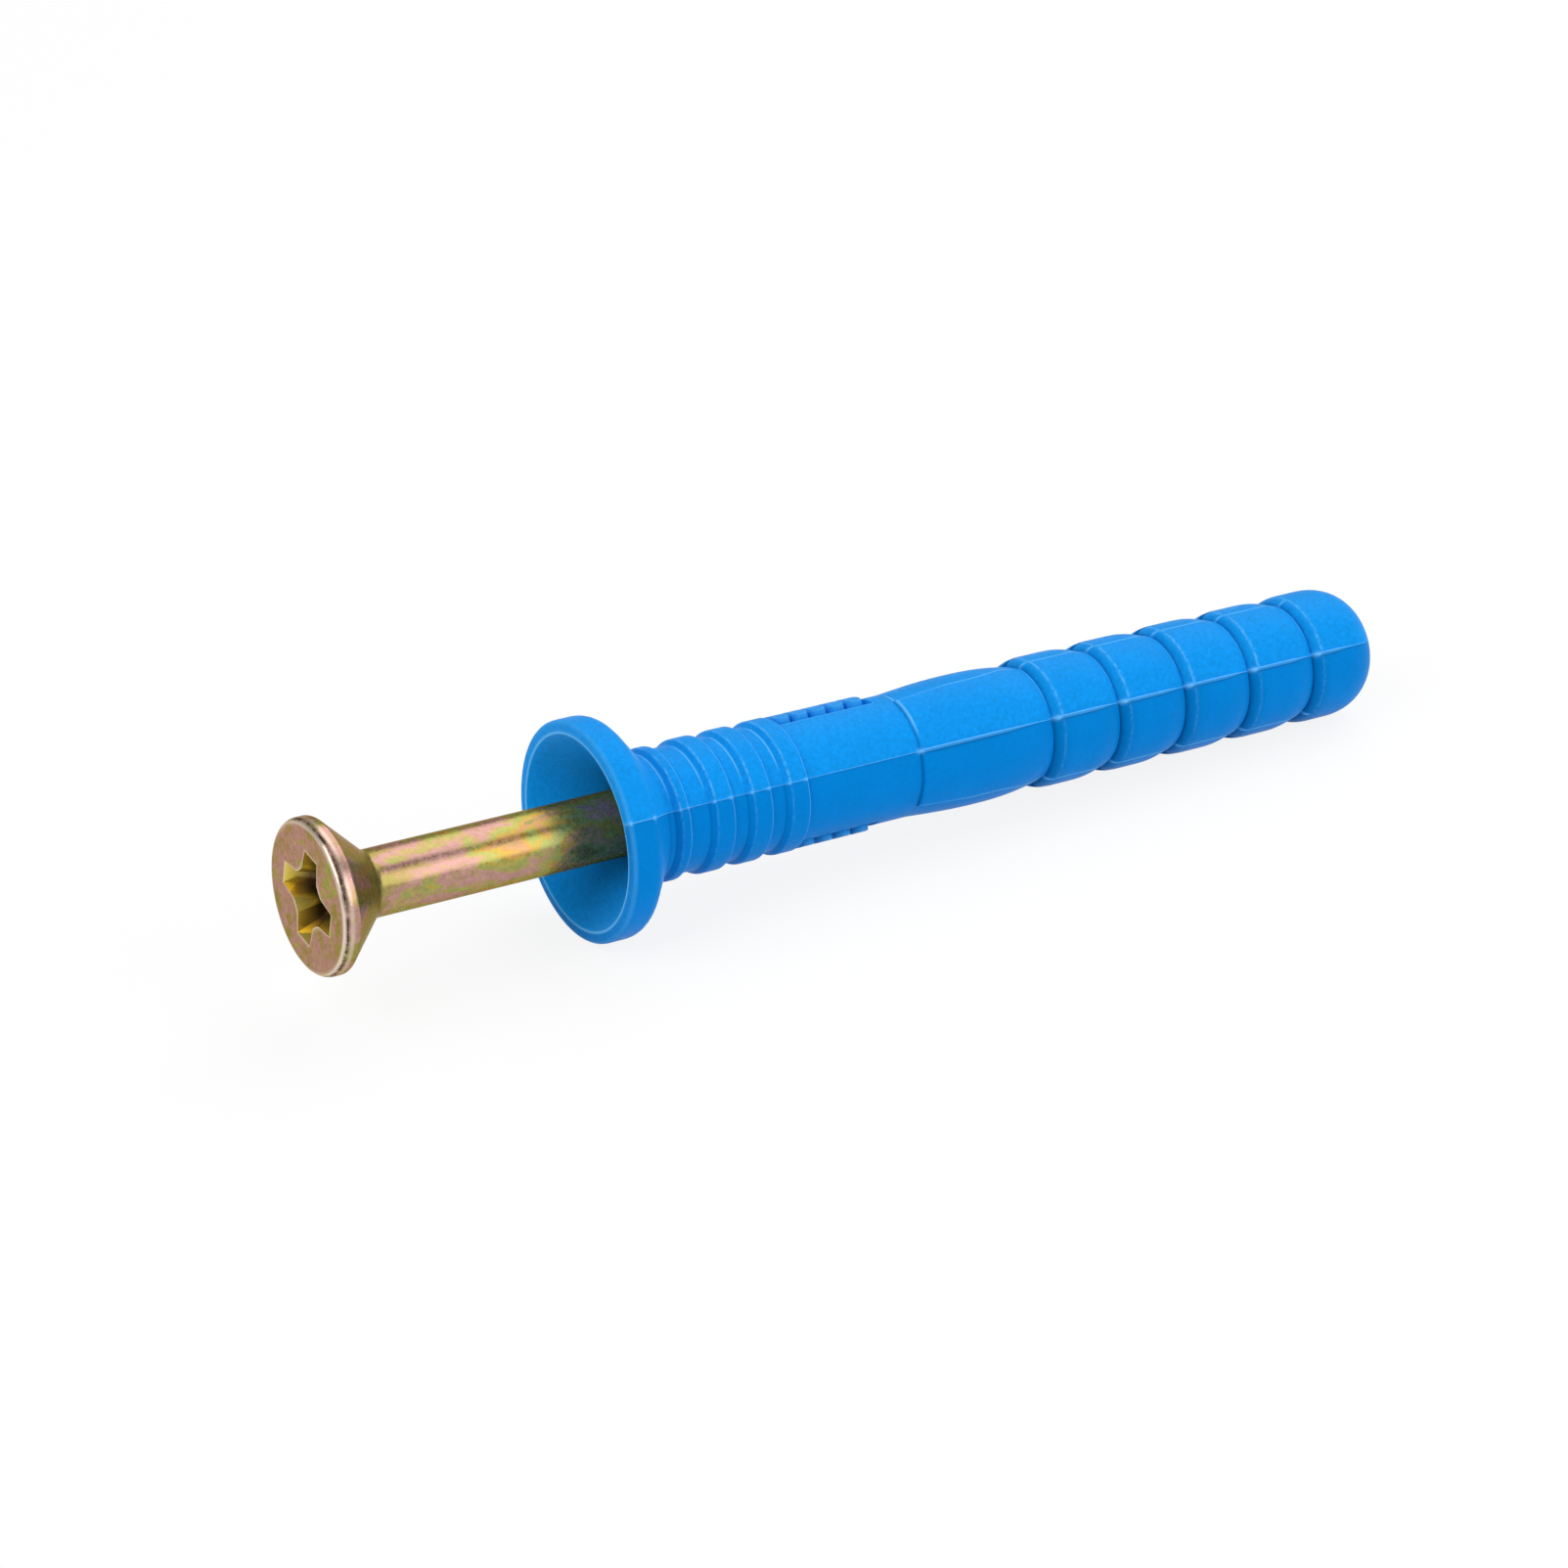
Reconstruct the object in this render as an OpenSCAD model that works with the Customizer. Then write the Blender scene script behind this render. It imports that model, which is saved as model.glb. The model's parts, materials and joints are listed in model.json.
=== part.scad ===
// Wall plug with its nail screw, as it is sold: the screw is pushed part of the way into the plug.
// The pair lies on the ground along +X, screw head towards -X, on the collar rim and the last barb.
// Each piece is drawn upright first: +Z runs from the collar rim (z = 0) to the nose of the plug,
// and the parting line of the moulding is at +Y and -Y. Outlines are lists of [radius, z].

/* [Collar] */
// Diameter of the collar
collar_d = 14.2; // [13.6:0.1:15]
// Length of the straight band at the rim, up to the corner that is rounded off
collar_band = 1.9; // [1.5:0.05:2.1]
// Distance from the rim to the neck, at the foot of the collar's cone
collar_len = 4.4; // [4.2:0.05:4.6]
// Diameter of the cup at the rim
mouth_d = 12.5; // [11.8:0.1:12.9]
// Rounding of the rim's outer edge
rim_round = 0.35; // [0.2:0.05:0.5]
// Rounding between the band and the cone
shoulder_round = 1; // [0.6:0.1:1.4]
// Rounding between the cone and the neck
foot_round = 0.4; // [0.1:0.05:0.5]

/* [Neck and body] */
// Length of the plug from the rim to the nose, nominally 60
plug_len = 60.4; // [60:0.1:62]
// Diameter of the plain body and of the neck between the rings
body_d = 8; // [7.9:0.05:8.1]
// Diameter across the grip rings and the barbs
rib_d = 8.64; // [8.6:0.02:8.8]
// Distance from the rim to the end of the last ring
neck_len = 14.45; // [14.3:0.05:14.8]
// Number of broad rings
ring_count = 3; // [2:1:3]
// Distance from one broad ring to the next
ring_pitch = 2.75; // [2.6:0.05:2.8]
// Width of the flat top of a broad ring
ring_land = 1.25; // [1:0.05:1.4]
// Length of the slope on the collar side of a ring
ring_slope = 0.36; // [0.2:0.02:0.5]
// Distance from the rim to the end of the thin ring
thin_ring_end = 5.8; // [5.7:0.05:5.9]
// Width of the flat top of the thin ring
thin_ring_land = 0.6; // [0.4:0.05:0.7]

/* [Panels] */
// Length of the panel on the upper side
upper_panel_len = 7.4; // [6:0.1:7.8]
// Length of the panel on the lower side
lower_panel_len = 6.2; // [5:0.1:7.8]
// Angle that the upper panel covers round the body
upper_panel_angle = 50; // [40:1:60]
// Angle that the lower panel covers
lower_panel_angle = 36; // [30:1:60]
// Depth of a panel below the plain body
panel_depth = 0.3; // [0.2:0.05:0.4]
// Distance from one raised bar to the next
bar_pitch = 1.36; // [1.2:0.02:1.5]
// Width of a raised bar along the plug
bar_w = 1.12; // [0.9:0.02:1.16]
// Bare floor left between a bar's ends and the edges of its panel
bar_margin = 0.22; // [0.15:0.01:0.4]
// Height of a raised bar above the plain body
bar_proud = 0.26; // [0.1:0.02:0.3]

/* [Expansion zone] */
// Distance from the rim to the step where the long pads begin
zone_start = 23.1; // [22.5:0.1:23.5]
// Height of that step
pad_step = 0.2; // [0.1:0.02:0.3]
// Diameter of the long pads in front of the barbs
pad_d = 8.6; // [8.54:0.02:8.7]
// Length over which the long pads swell to that diameter
swell_len = 5.2; // [4:0.1:5.5]
// Distance from the rim to the root in front of the first barb
first_root = 33.38; // [33:0.02:33.7]
// Distance from one barb to the next
barb_pitch = 5.28; // [5:0.02:5.4]
// Number of barbs
barb_count = 5; // [3:1:5]
// Diameter at the roots between the barbs
root_d = 7.7; // [7.4:0.05:7.9]
// Length of the steep, rounded face on the collar side of a barb
barb_rise = 1.1; // [0.8:0.05:1.3]
// Length of the easy slope on the nose side of a barb
barb_fall = 2.3; // [1.8:0.1:2.6]
// Length of the easy slope at the end of the long pads
pad_fall = 4.3; // [3.5:0.1:4.5]
// Distance from the middle plane to the side of a long pad, where the pad begins
pad_side_start = 3.45; // [3.3:0.05:3.6]
// The same distance where the pad has widened
pad_side = 3.72; // [3.6:0.02:3.8]
// The same distance on the barbs
barb_side = 3.9; // [3.88:0.01:4]
// How far the narrow strips lie below the long pads
strip_drop = 0.03; // [0.02:0.01:0.1]
// How much earlier the fronts of the strips' barbs begin than those of the pads
strip_lead = 0.22; // [0.1:0.02:0.3]
// Width of the slot that splits the zone into two legs
slot_w = 0.5; // [0.4:0.1:1]
// Distance from the rim to the beginning of the slot
slot_start = 25; // [24.5:0.5:27]
// Distance from the rim to the end of the slot
slot_end = 52.7; // [48:0.1:53.5]
// Length of the rounded nose
nose_len = 3.15; // [2.8:0.05:3.4]
// Diameter of the flat end of the nose
nose_d = 3.5; // [3.2:0.1:4]

/* [Bore] */
// Diameter of the guide bore, which the crests of the screw's thread fill
bore_d = 4.8; // [4.6:0.1:5]
// Diameter of the pilot bore in the barbed end
pilot_d = 2.2; // [1.6:0.1:2.4]

/* [Screw] */
// Length of the screw
screw_len = 65; // [64:0.5:66]
// How far the head's face stands out of the rim of the plug
screw_out = 18.62; // [18.4:0.01:19.2]
// Diameter of the head
head_d = 9.86; // [9.4:0.02:10.2]
// Diameter of the flat face of the head
face_d = 9.2; // [8.8:0.1:9.3]
// Length of the rounded edge of the head
head_edge = 0.58; // [0.4:0.02:0.7]
// Length of the straight band of the head
head_band = 0.44; // [0.2:0.02:0.6]
// Length of the whole head, down to the shank
head_len = 3.92; // [3.6:0.02:4.2]
// Diameter of the plain shank
shank_d = 4.25; // [4:0.05:4.5]
// Diameter under the teeth
core_d = 3.9; // [3.6:0.05:4]
// Distance from the face to the first tooth
teeth_start = 25; // [24:0.5:26]
// Distance from one tooth to the next
tooth_pitch = 2; // [1.9:0.05:2]
// Number of teeth
tooth_count = 16; // [10:1:16]
// Length of the point
point_len = 7; // [6.5:0.1:7.4]

/* [Driver recess] */
// Diameter across the wings at the face
recess_d = 6.2; // [5.6:0.1:6.4]
// Depth of the recess
recess_depth = 3; // [2.4:0.1:3.2]
// Width of a wing at the face
wing_w = 1.56; // [1.3:0.02:1.7]

/* [Placement] */
// How far the parting line is turned up from the horizontal
seam_roll = 28.5; // [0:0.1:90]
// How far the driver recess is turned down from the horizontal
recess_roll = 8.9; // [0:0.1:45]

/* [Hidden] */
$fn = 64;

collar_r = collar_d / 2;
mouth_r = mouth_d / 2;
body_r = body_d / 2;
rib_r = rib_d / 2;
pad_r = pad_d / 2;
root_r = root_d / 2;
nose_r = nose_d / 2;
bore_r = bore_d / 2;
pilot_r = pilot_d / 2;
head_r = head_d / 2;
face_r = face_d / 2;
shank_r = shank_d / 2;
core_r = core_d / 2;

// The thin ring is a little lower than the broad ones
thin_ring_r = rib_r - 0.04;
// Half the width of a wing of the driver recess, where it leaves the core
wing_root = wing_w * 0.63;
// Length of the step at the front of the long pads
step_len = 0.1;
// Overlap of cutting bodies past the faces that they cut
past = 1;
// Radius of the blunt tip of the point
tip_r = 0.15;

// Steps of the curves: angles on the steep face of a barb, and shares of the way along the others.
// The last step of an easy slope is the first one of the next barb.
rise_steps = [0, 20, 40, 65, 90];
swell_steps = [0, 0.33, 0.66, 1];
fall_steps = [0, 0.3, 0.55, 0.8];

// Places of the screw, measured from the collar rim
face_z = -screw_out;
tip_z = face_z + screw_len;
point_z = tip_z - point_len;
// The point sits in a taper of its own angle at the end of the guide bore
point_slope = (core_r - tip_r) / point_len;
taper_end = point_z + (core_r - pilot_r) / point_slope;
taper_lead = 0.45;

// Rounded corner at b between the straight runs a-b and b-c
function unit(v) = v / norm(v);
function corner(a, b, c, r, steps = 4) =
    let (
        u = unit(a - b),
        v = unit(c - b),
        half = acos(u * v) / 2,
        centre = b + unit(u + v) * r / sin(half),
        from = b + u * r / tan(half) - centre,
        to = b + v * r / tan(half) - centre,
        turn = acos(min(1, from * to / (r * r))),
        way = sign(from[0] * to[1] - from[1] * to[0])
    )
    [for (i = [0:steps])
        let (t = way * turn * i / steps)
        centre + [from[0] * cos(t) - from[1] * sin(t), from[0] * sin(t) + from[1] * cos(t)]];

// A grip ring: a slope on the collar side, a flat top, and a square end at z = end
function ring(end, land, r) = [
    [body_r, end - land - ring_slope],
    [r, end - land],
    [r, end],
    [body_r, end]];

// Outline of the collar, the neck and the plain body
band_end = [collar_r, collar_band];
cone_foot = [body_r, collar_len];
shoulder = corner([collar_r, 0], band_end, cone_foot, shoulder_round);
front_outline = concat(
    [[0, 0]],
    corner([0, 0], [collar_r, 0], band_end, rim_round),
    shoulder,
    corner(band_end, cone_foot, [body_r, neck_len], foot_round, 3),
    ring(thin_ring_end, thin_ring_land, thin_ring_r),
    [for (i = [ring_count - 1:-1:0]) each ring(neck_len - i * ring_pitch, ring_land, rib_r)],
    [[body_r, zone_start], [0, zone_start]]);

// Steep face from a root up to the crest of a barb, a quarter of an ellipse of the given length
function rise(root, length) =
    [for (a = rise_steps) [root_r + (rib_r - root_r) * sin(a), root + length * (1 - cos(a))]];

// Easy slope from radius top down to the next root, over the given length
function fall(top, root, length) =
    [for (t = fall_steps) [top - (top - root_r) * t * t, root - length * (1 - t)]];

// Swelling stretch in front of the barbs, from radius r0 to radius top
function swell(r0, top) =
    [for (t = swell_steps) [r0 + (top - r0) * sin(90 * t), zone_start + step_len + swell_len * t]];

// Outline of the barbed end: the last barb runs straight into the rounded nose
function zone_outline(r0, top, lead) =
    let (first = first_root - lead, length = barb_rise + lead)
    concat(
        [[0, zone_start - past], [body_r, zone_start - past], [body_r, zone_start]],
        swell(r0, top),
        fall(top, first, pad_fall),
        [for (i = [0:barb_count - 2])
            each concat(
                rise(first + i * barb_pitch, length),
                fall(rib_r, first + (i + 1) * barb_pitch, barb_fall))],
        rise(first + (barb_count - 1) * barb_pitch, length),
        [for (a = [0:15:90])
            [nose_r + (rib_r - nose_r) * cos(a), plug_len - nose_len * (1 - sin(a))]],
        [[0, plug_len]]);

pad_outline = zone_outline(body_r + pad_step, pad_r, 0);
strip_outline = zone_outline(body_r, pad_r - strip_drop, strip_lead);

// Sides of the pads, as [distance from the middle plane, z]: they widen in two short runs
pad_sides = [
    [pad_side_start, zone_start - past / 2],
    [pad_side_start, zone_start],
    [pad_side, zone_start + swell_len * 0.75],
    [pad_side, first_root - pad_fall],
    [barb_side, first_root],
    [barb_side, plug_len + past]];

// Outline of everything that is hollow inside the plug: cup, guide bore, taper and pilot bore
cup_depth = mouth_r - bore_r;
hollow_outline = [
    [0, -past],
    [mouth_r + past, -past],
    [bore_r, cup_depth],
    [bore_r, point_z - taper_lead],
    [core_r, point_z],
    [pilot_r, taper_end],
    [pilot_r, plug_len + past],
    [0, plug_len + past]];

// A tooth of the screw: steep towards the head, easy towards the point
function tooth(z) = [
    [core_r, z],
    [bore_r, z + 0.2],
    [bore_r, z + 0.55],
    [core_r, z + 1.8]];

screw_outline = concat(
    [[0, face_z]],
    [for (a = [0:22.5:90])
        [face_r + (head_r - face_r) * sin(a), face_z + head_edge * (1 - cos(a))]],
    [[head_r, face_z + head_edge + head_band],
     [shank_r, face_z + head_len],
     [shank_r, face_z + teeth_start - 1],
     [core_r, face_z + teeth_start - 0.6]],
    [for (i = [0:tooth_count - 1]) each tooth(face_z + teeth_start + i * tooth_pitch)],
    [[core_r, point_z], [tip_r, tip_z], [0, tip_z]]);

// The pair dips towards the nose, because the collar is wider than the barbs
lie_collar = shoulder[0];
lie_barb = [rib_r, plug_len - nose_len];
dip = atan((lie_collar[0] - lie_barb[0]) / (lie_barb[1] - lie_collar[1]));
// Height of the axis at the rim, and the middle of the pair along the ground
axis_h = max([for (p = concat(front_outline, pad_outline)) p[0] * cos(dip) + p[1] * sin(dip)]);
far_x = max([for (p = pad_outline) p[1] * cos(dip) + p[0] * sin(dip)]);
near_x = min([for (p = screw_outline) p[1] * cos(dip) - p[0] * sin(dip)]);
mid_x = (far_x + near_x) / 2;

// Slab that holds the two pads, with its middle plane through the parting line
module pad_slab() {
    rotate([90, 0, 0])
        linear_extrude(2 * rib_d, center = true)
            polygon(concat(
                pad_sides,
                [for (i = [len(pad_sides) - 1:-1:0]) [-pad_sides[i][0], pad_sides[i][1]]]));
}

// Expansion zone: two pads about the parting line, and two strips that stand out between them
module expansion_zone() {
    intersection() {
        rotate_extrude() polygon(pad_outline);
        pad_slab();
    }
    difference() {
        rotate_extrude() polygon(strip_outline);
        pad_slab();
    }
}

// Recess in the body for a panel on the side of +X, with a row of plain raised bars left standing
module panel_cut(length, angle) {
    floor_r = body_r - panel_depth;
    difference() {
        intersection() {
            translate([0, 0, neck_len])
                difference() {
                    cylinder(r = rib_r + past, h = length);
                    translate([0, 0, -past])
                        cylinder(r = floor_r, h = length + 2 * past);
                }
            rotate([0, 0, -angle / 2])
                translate([0, 0, neck_len - past])
                    linear_extrude(length + 2 * past)
                        polygon([
                            [0, 0],
                            [rib_d, 0],
                            [rib_d * cos(angle / 2), rib_d * sin(angle / 2)] * 1.2,
                            [rib_d * cos(angle), rib_d * sin(angle)]]);
        }
        panel_bars(length, angle);
    }
}

// The bars that the panel's cut leaves alone: straight sides and round ends
module panel_bars(length, angle) {
    count = floor((length - 0.2) / bar_pitch);
    first = neck_len + (length - (count - 1) * bar_pitch) / 2;
    half = body_r * sin(angle / 2) - bar_margin - bar_w / 2;
    for (i = [0:count - 1])
        translate([0, 0, first + i * bar_pitch]) {
            translate([0, -half, -bar_w / 2])
                cube([rib_d, 2 * half, bar_w]);
            for (y = [-half, half])
                translate([0, y, 0])
                    rotate([0, 90, 0])
                        cylinder(r = bar_w / 2, h = rib_d, $fn = 24);
        }
}

// Raised bars of one panel, standing proud of the plain body
module raised_bars(length, angle) {
    intersection() {
        panel_bars(length, angle);
        translate([0, 0, neck_len])
            difference() {
                cylinder(r = body_r + bar_proud, h = length);
                translate([0, 0, -past])
                    cylinder(r = body_r - panel_depth - 0.1, h = length + 2 * past);
            }
    }
}

// Slot through both strips, with round ends
module slot() {
    for (z = [slot_start + slot_w / 2, slot_end - slot_w / 2])
        translate([-rib_d, 0, z])
            rotate([0, 90, 0])
                cylinder(r = slot_w / 2, h = 2 * rib_d, $fn = 24);
    translate([-rib_d, -slot_w / 2, slot_start + slot_w / 2])
        cube([2 * rib_d, slot_w, slot_end - slot_start - slot_w]);
}

module upright_sleeve() {
    difference() {
        union() {
            rotate_extrude() polygon(front_outline);
            expansion_zone();
            rotate([0, 0, 180]) raised_bars(upper_panel_len, upper_panel_angle);
            raised_bars(lower_panel_len, lower_panel_angle);
        }
        rotate_extrude() polygon(hollow_outline);
        rotate([0, 0, 180]) panel_cut(upper_panel_len, upper_panel_angle);
        panel_cut(lower_panel_len, lower_panel_angle);
        slot();
    }
}

// One pair of opposite wings: they widen inwards, and lose more length than width on the way down
module wing_pair() {
    tip = recess_d / 2;
    hull() {
        translate([0, 0, -past / 10])
            linear_extrude(0.01)
                polygon([
                    [tip, wing_w / 2], [wing_w, wing_root], [-wing_w, wing_root], [-tip, wing_w / 2],
                    [-tip, -wing_w / 2], [-wing_w, -wing_root], [wing_w, -wing_root], [tip, -wing_w / 2]]);
        translate([-tip * 0.45, -wing_w * 0.36, recess_depth * 0.85])
            cube([2 * tip * 0.45, wing_w * 0.72, 0.01]);
    }
}

// Core of the recess between the wings, down to a shallow point
module recess_core() {
    long = wing_w * 1.03;
    short = wing_root;
    hull() {
        translate([0, 0, -past / 10])
            linear_extrude(0.01)
                polygon([
                    [long, short], [short, long], [-short, long], [-long, short],
                    [-long, -short], [-short, -long], [short, -long], [long, -short]]);
        translate([0, 0, recess_depth * 0.85]) cylinder(r = short * 0.8, h = 0.01, $fn = 16);
        translate([0, 0, recess_depth]) cylinder(r = 0.1, h = 0.01, $fn = 16);
    }
}

module upright_screw() {
    difference() {
        rotate_extrude() polygon(screw_outline);
        translate([0, 0, face_z]) {
            wing_pair();
            rotate([0, 0, 90]) wing_pair();
            recess_core();
        }
    }
}

// Lays an upright piece down on the ground, rolled about its own axis
module laid_down(roll) {
    translate([-mid_x, 0, axis_h])
        rotate([0, 90 + dip, 0])
            rotate([0, 0, roll])
                children();
}

module plug_sleeve() {
    color("#1287e0") laid_down(-seam_roll) upright_sleeve();
}

module nail_screw() {
    color("#c8b45a") laid_down(recess_roll) upright_screw();
}

plug_sleeve();
nail_screw();
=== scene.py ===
"""Wall plug with its nail screw, lying on a pale studio floor.

Both pieces are turned bodies that share one tilted axis. Each is worked out in millimetres on a grid
of rows (along the outline) by columns (round the axis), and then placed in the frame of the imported
model. `along` runs from the collar rim to the nose, and `turn` is the angle round the axis in degrees,
counted upwards from the parting line that faces the camera.
"""
import json
import math

import bpy
import numpy as np
from mathutils import Matrix, Vector


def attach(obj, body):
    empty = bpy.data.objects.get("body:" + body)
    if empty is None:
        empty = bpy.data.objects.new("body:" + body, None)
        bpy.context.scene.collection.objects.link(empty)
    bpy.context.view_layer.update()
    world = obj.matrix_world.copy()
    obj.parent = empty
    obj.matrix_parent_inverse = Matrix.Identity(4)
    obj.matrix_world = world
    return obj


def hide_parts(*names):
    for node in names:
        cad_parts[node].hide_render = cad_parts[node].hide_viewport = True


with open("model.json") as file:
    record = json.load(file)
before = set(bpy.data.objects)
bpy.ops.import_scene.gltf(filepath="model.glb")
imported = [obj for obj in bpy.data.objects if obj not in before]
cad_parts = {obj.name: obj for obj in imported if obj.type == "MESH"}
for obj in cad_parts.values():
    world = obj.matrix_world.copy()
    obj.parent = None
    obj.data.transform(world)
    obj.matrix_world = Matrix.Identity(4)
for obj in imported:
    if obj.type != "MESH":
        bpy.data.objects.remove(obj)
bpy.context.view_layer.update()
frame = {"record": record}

MM = 0.001

# Collar, neck and body of the plug, in millimetres, as in the part's source
COLLAR = 7.096
BAND_END = 1.9
CONE_FOOT = 4.4
MOUTH = 6.25
BODY = 4.0
RIB = 4.32
THIN_RING = 4.28
THIN_RING_END = 5.80
THIN_RING_LAND = 0.60
RING_ENDS = (8.95, 11.70, 14.45)
RING_LAND = 1.25
RING_SLOPE = 0.36

# Panels with their raised bars: (half of the angle covered, length, number of bars)
NECK_END = 14.45
UPPER_PANEL = (25.0, 7.4, 5)
LOWER_PANEL = (18.0, 6.2, 4)
PANEL_FLOOR = 3.70
BAR_TOP = 4.26
BAR_PITCH = 1.36
BAR_HALF = 0.56
BAR_MARGIN = 0.22

# Barbed end
ZONE_START = 23.1
PAD_START = 4.20
PAD = 4.30
STRIP = 4.27
SWELL = 5.2
FIRST_ROOT = 33.38
BARB_PITCH = 5.28
BARBS = 5
ROOT = 3.85
BARB_RISE = 1.1
BARB_FALL = 2.3
PAD_FALL = 4.3
STRIP_LEAD = 0.22
NOSE_END = 60.3995
NOSE_LEN = 3.15
NOSE_FLAT = 1.75
SLOT = (25.0, 52.7)
SLOT_HALF = 0.25

# The hollow: radius of the guide bore, where its taper to the pilot bore runs (places and radii), and
# where the cup's straight wall begins (place and radius)
BORE = 2.4
BORE_TAPER = ((38.93, 39.38, 42.68), (BORE, 1.95, 1.1))
CUP_FOOT = (3.74, 2.47)
# Away from the slot, the hidden bore has only each fourth of the outer rows
HIDDEN_STEP = 4

# Distance of the pads' sides from the plane through the parting line: places and distances
SIDE_AT = (23.1, 27.0, 29.08, 33.38)
SIDE = (3.45, 3.72, 3.72, 3.90)

# Turn of the parting line above the horizontal, and of the driver recess
SEAM_TURN = 28.5
RECESS_TURN = 81.1

# The screw, in millimetres
FACE = -18.6195
TIP = 46.38
HEAD = 4.93
FACE_EDGE = 4.60
HEAD_EDGE_LEN = 0.58
HEAD_BAND_END = 1.02
HEAD_LEN = 3.92
SHANK = 2.125
CREST = 2.39
CORE = 1.95
THREAD = (5.85, 38.65)
THREAD_PITCH = 2.0

# Driver recess: depth of its walls, and one eighth of its outline at the face and at the walls' foot,
# as the tip corner, the side corner and the inner corner
RECESS_WALL = 2.60
RECESS_MOUTH = ((2.98, 0.78), (1.60, 0.98), (1.25, 1.25))
RECESS_FLOOR = ((1.45, 0.50), (0.86, 0.56), (0.62, 0.62))

# Thickness of the screw's film: places along the screw, and shares of the thickest film
FILM = ((-18.6, -18.0, -17.4, -14.9, -14.2, -8.0, -1.0), (0.25, 0.25, 0.03, 0.04, 0.28, 0.46, 0.68))

# Columns of the plug between a parting line (0) and the middle of a strip (90): 60 is a pad's side
PAD_EDGE = 60.0
STRIP_EDGE = 60.6
SLOT_EDGE = 3.4

# The axis of both pieces, the middle of the collar rim, and two directions square to the axis
MOUNT_MIDDLE = 31.225
mount = next(m for m in frame["record"]["mounts"] if m["name"] == "wall_hole_body")
axis = np.array(mount["axis"]) / np.linalg.norm(mount["axis"])
rim = np.array(mount["pos_m"]) / MM - axis * MOUNT_MIDDLE
near = np.array([0.0, -1.0, 0.0])
up = np.cross(near, axis)


def place(along, radius, turn):
    """Points in the row's frame, in metres.

    A point is rim + along * axis + radius * (cos turn * near + sin turn * up).
    """
    a = np.radians(turn)
    sideways = np.cos(a)[..., None] * near + np.sin(a)[..., None] * up
    return (rim + along[..., None] * axis + radius[..., None] * sideways) * MM


def smooth_step(x):
    """0 below 0, 1 above 1, and 3 x^2 - 2 x^3 between."""
    x = np.clip(x, 0, 1)
    return x * x * (3 - 2 * x)


def bell(x, width):
    """Bell curve exp(-(x / width)^2)."""
    return np.exp(-(x / width) ** 2)


# Marks of a row, each 0 to 1: a continuous pale edge, a dotted pale edge and a gleam that only the upper
# half has, all three painted highlights, and the painted shade of a groove
PLAIN = (0, 0, 0, 0)
EDGE = (1.0, 0, 0, 0)
SOFT_EDGE = (0.25, 0, 0, 0)
DOTTED_HIGHLIGHT = (0, 0.55, 0, 0)
FOOT = (0, 0, 1.0, 0.6)
HEEL = (0, 0, 0, 0.5)


def eased(corners, curve=4):
    """Outline through corners (along, radius, ease, steps, marks), as rows of (along, radius, marks).

    Each corner becomes a parabola that leaves the straight runs `ease` mm before and after it, and
    the run that leads to a corner is cut into `steps` equal parts. Marks are 0 at both ends of a
    parabola: the gleam (a painted highlight) lies on its first half, the painted shade on its second,
    and the others (painted highlights too) in its middle.
    """
    at = np.array([c[:2] for c in corners], float)
    ease = [c[2] for c in corners]
    marks = np.array([c[4] for c in corners], float)
    way = np.diff(at, axis=0)
    way = way / np.linalg.norm(way, axis=1)[:, None]
    t = np.linspace(0, 1, curve + 1)[:, None]
    middle = 4 * t * (1 - t)
    share = np.hstack([
        middle ** 2, middle ** 3, bell(t - 0.25, 0.2) * middle * 1.3, smooth_step(t * 1.6) * middle])
    rows = [np.hstack([at[0], marks[0]])[None]]
    for k in range(1, len(at)):
        last = rows[-1][-1, :2]
        if k == len(at) - 1:
            bend = at[k][None]
            shine = marks[k][None]
        else:
            bend = ((1 - t) ** 2 * (at[k] - way[k - 1] * ease[k]) + 2 * t * (1 - t) * at[k]
                    + t ** 2 * (at[k] + way[k] * ease[k]))
            shine = share * marks[k]
        step = np.linspace(0, 1, corners[k][3] + 1)[1:-1, None]
        run = last + (bend[0] - last) * step
        rows.append(np.hstack([run, np.zeros((len(run), 4))]))
        rows.append(np.hstack([bend, shine]))
    return np.vstack(rows)


def ring_corners(end, land, top):
    """Corners of one grip ring whose square side is at `end`."""
    # A ring gets a painted highlight and painted shade at its foot, a dotted painted highlight on its
    # crest, a pale painted highlight on its square edge and painted shade at its heel
    return [
        (end - land - RING_SLOPE, BODY, 0.13, 3, FOOT),
        (end - land, top, 0.14, 3, DOTTED_HIGHLIGHT),
        (end, top, 0.07, 3, EDGE),
        (end + 0.03, BODY, 0.05, 2, HEEL)]


def front_outline():
    """Collar, neck, rings and plain body, as rows of (along, radius, marks)."""
    # Pale painted highlights on the rim's inner and outer edges, and painted shade at the cone's foot
    corners = [
        (0.00, MOUTH + 0.05, 0.00, 1, EDGE),
        (0.00, COLLAR, 0.33, 3, SOFT_EDGE),
        (BAND_END, COLLAR, 0.48, 4, PLAIN),
        (CONE_FOOT, BODY, 0.16, 6, HEEL)]
    corners += ring_corners(THIN_RING_END, THIN_RING_LAND, THIN_RING)
    for end in RING_ENDS:
        corners += ring_corners(end, RING_LAND, RIB)
    corners += [(22.0, BODY, 0.02, 108, PLAIN), (ZONE_START - 0.20, BODY, 0.0, 6, PLAIN)]
    return eased(corners)


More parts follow.
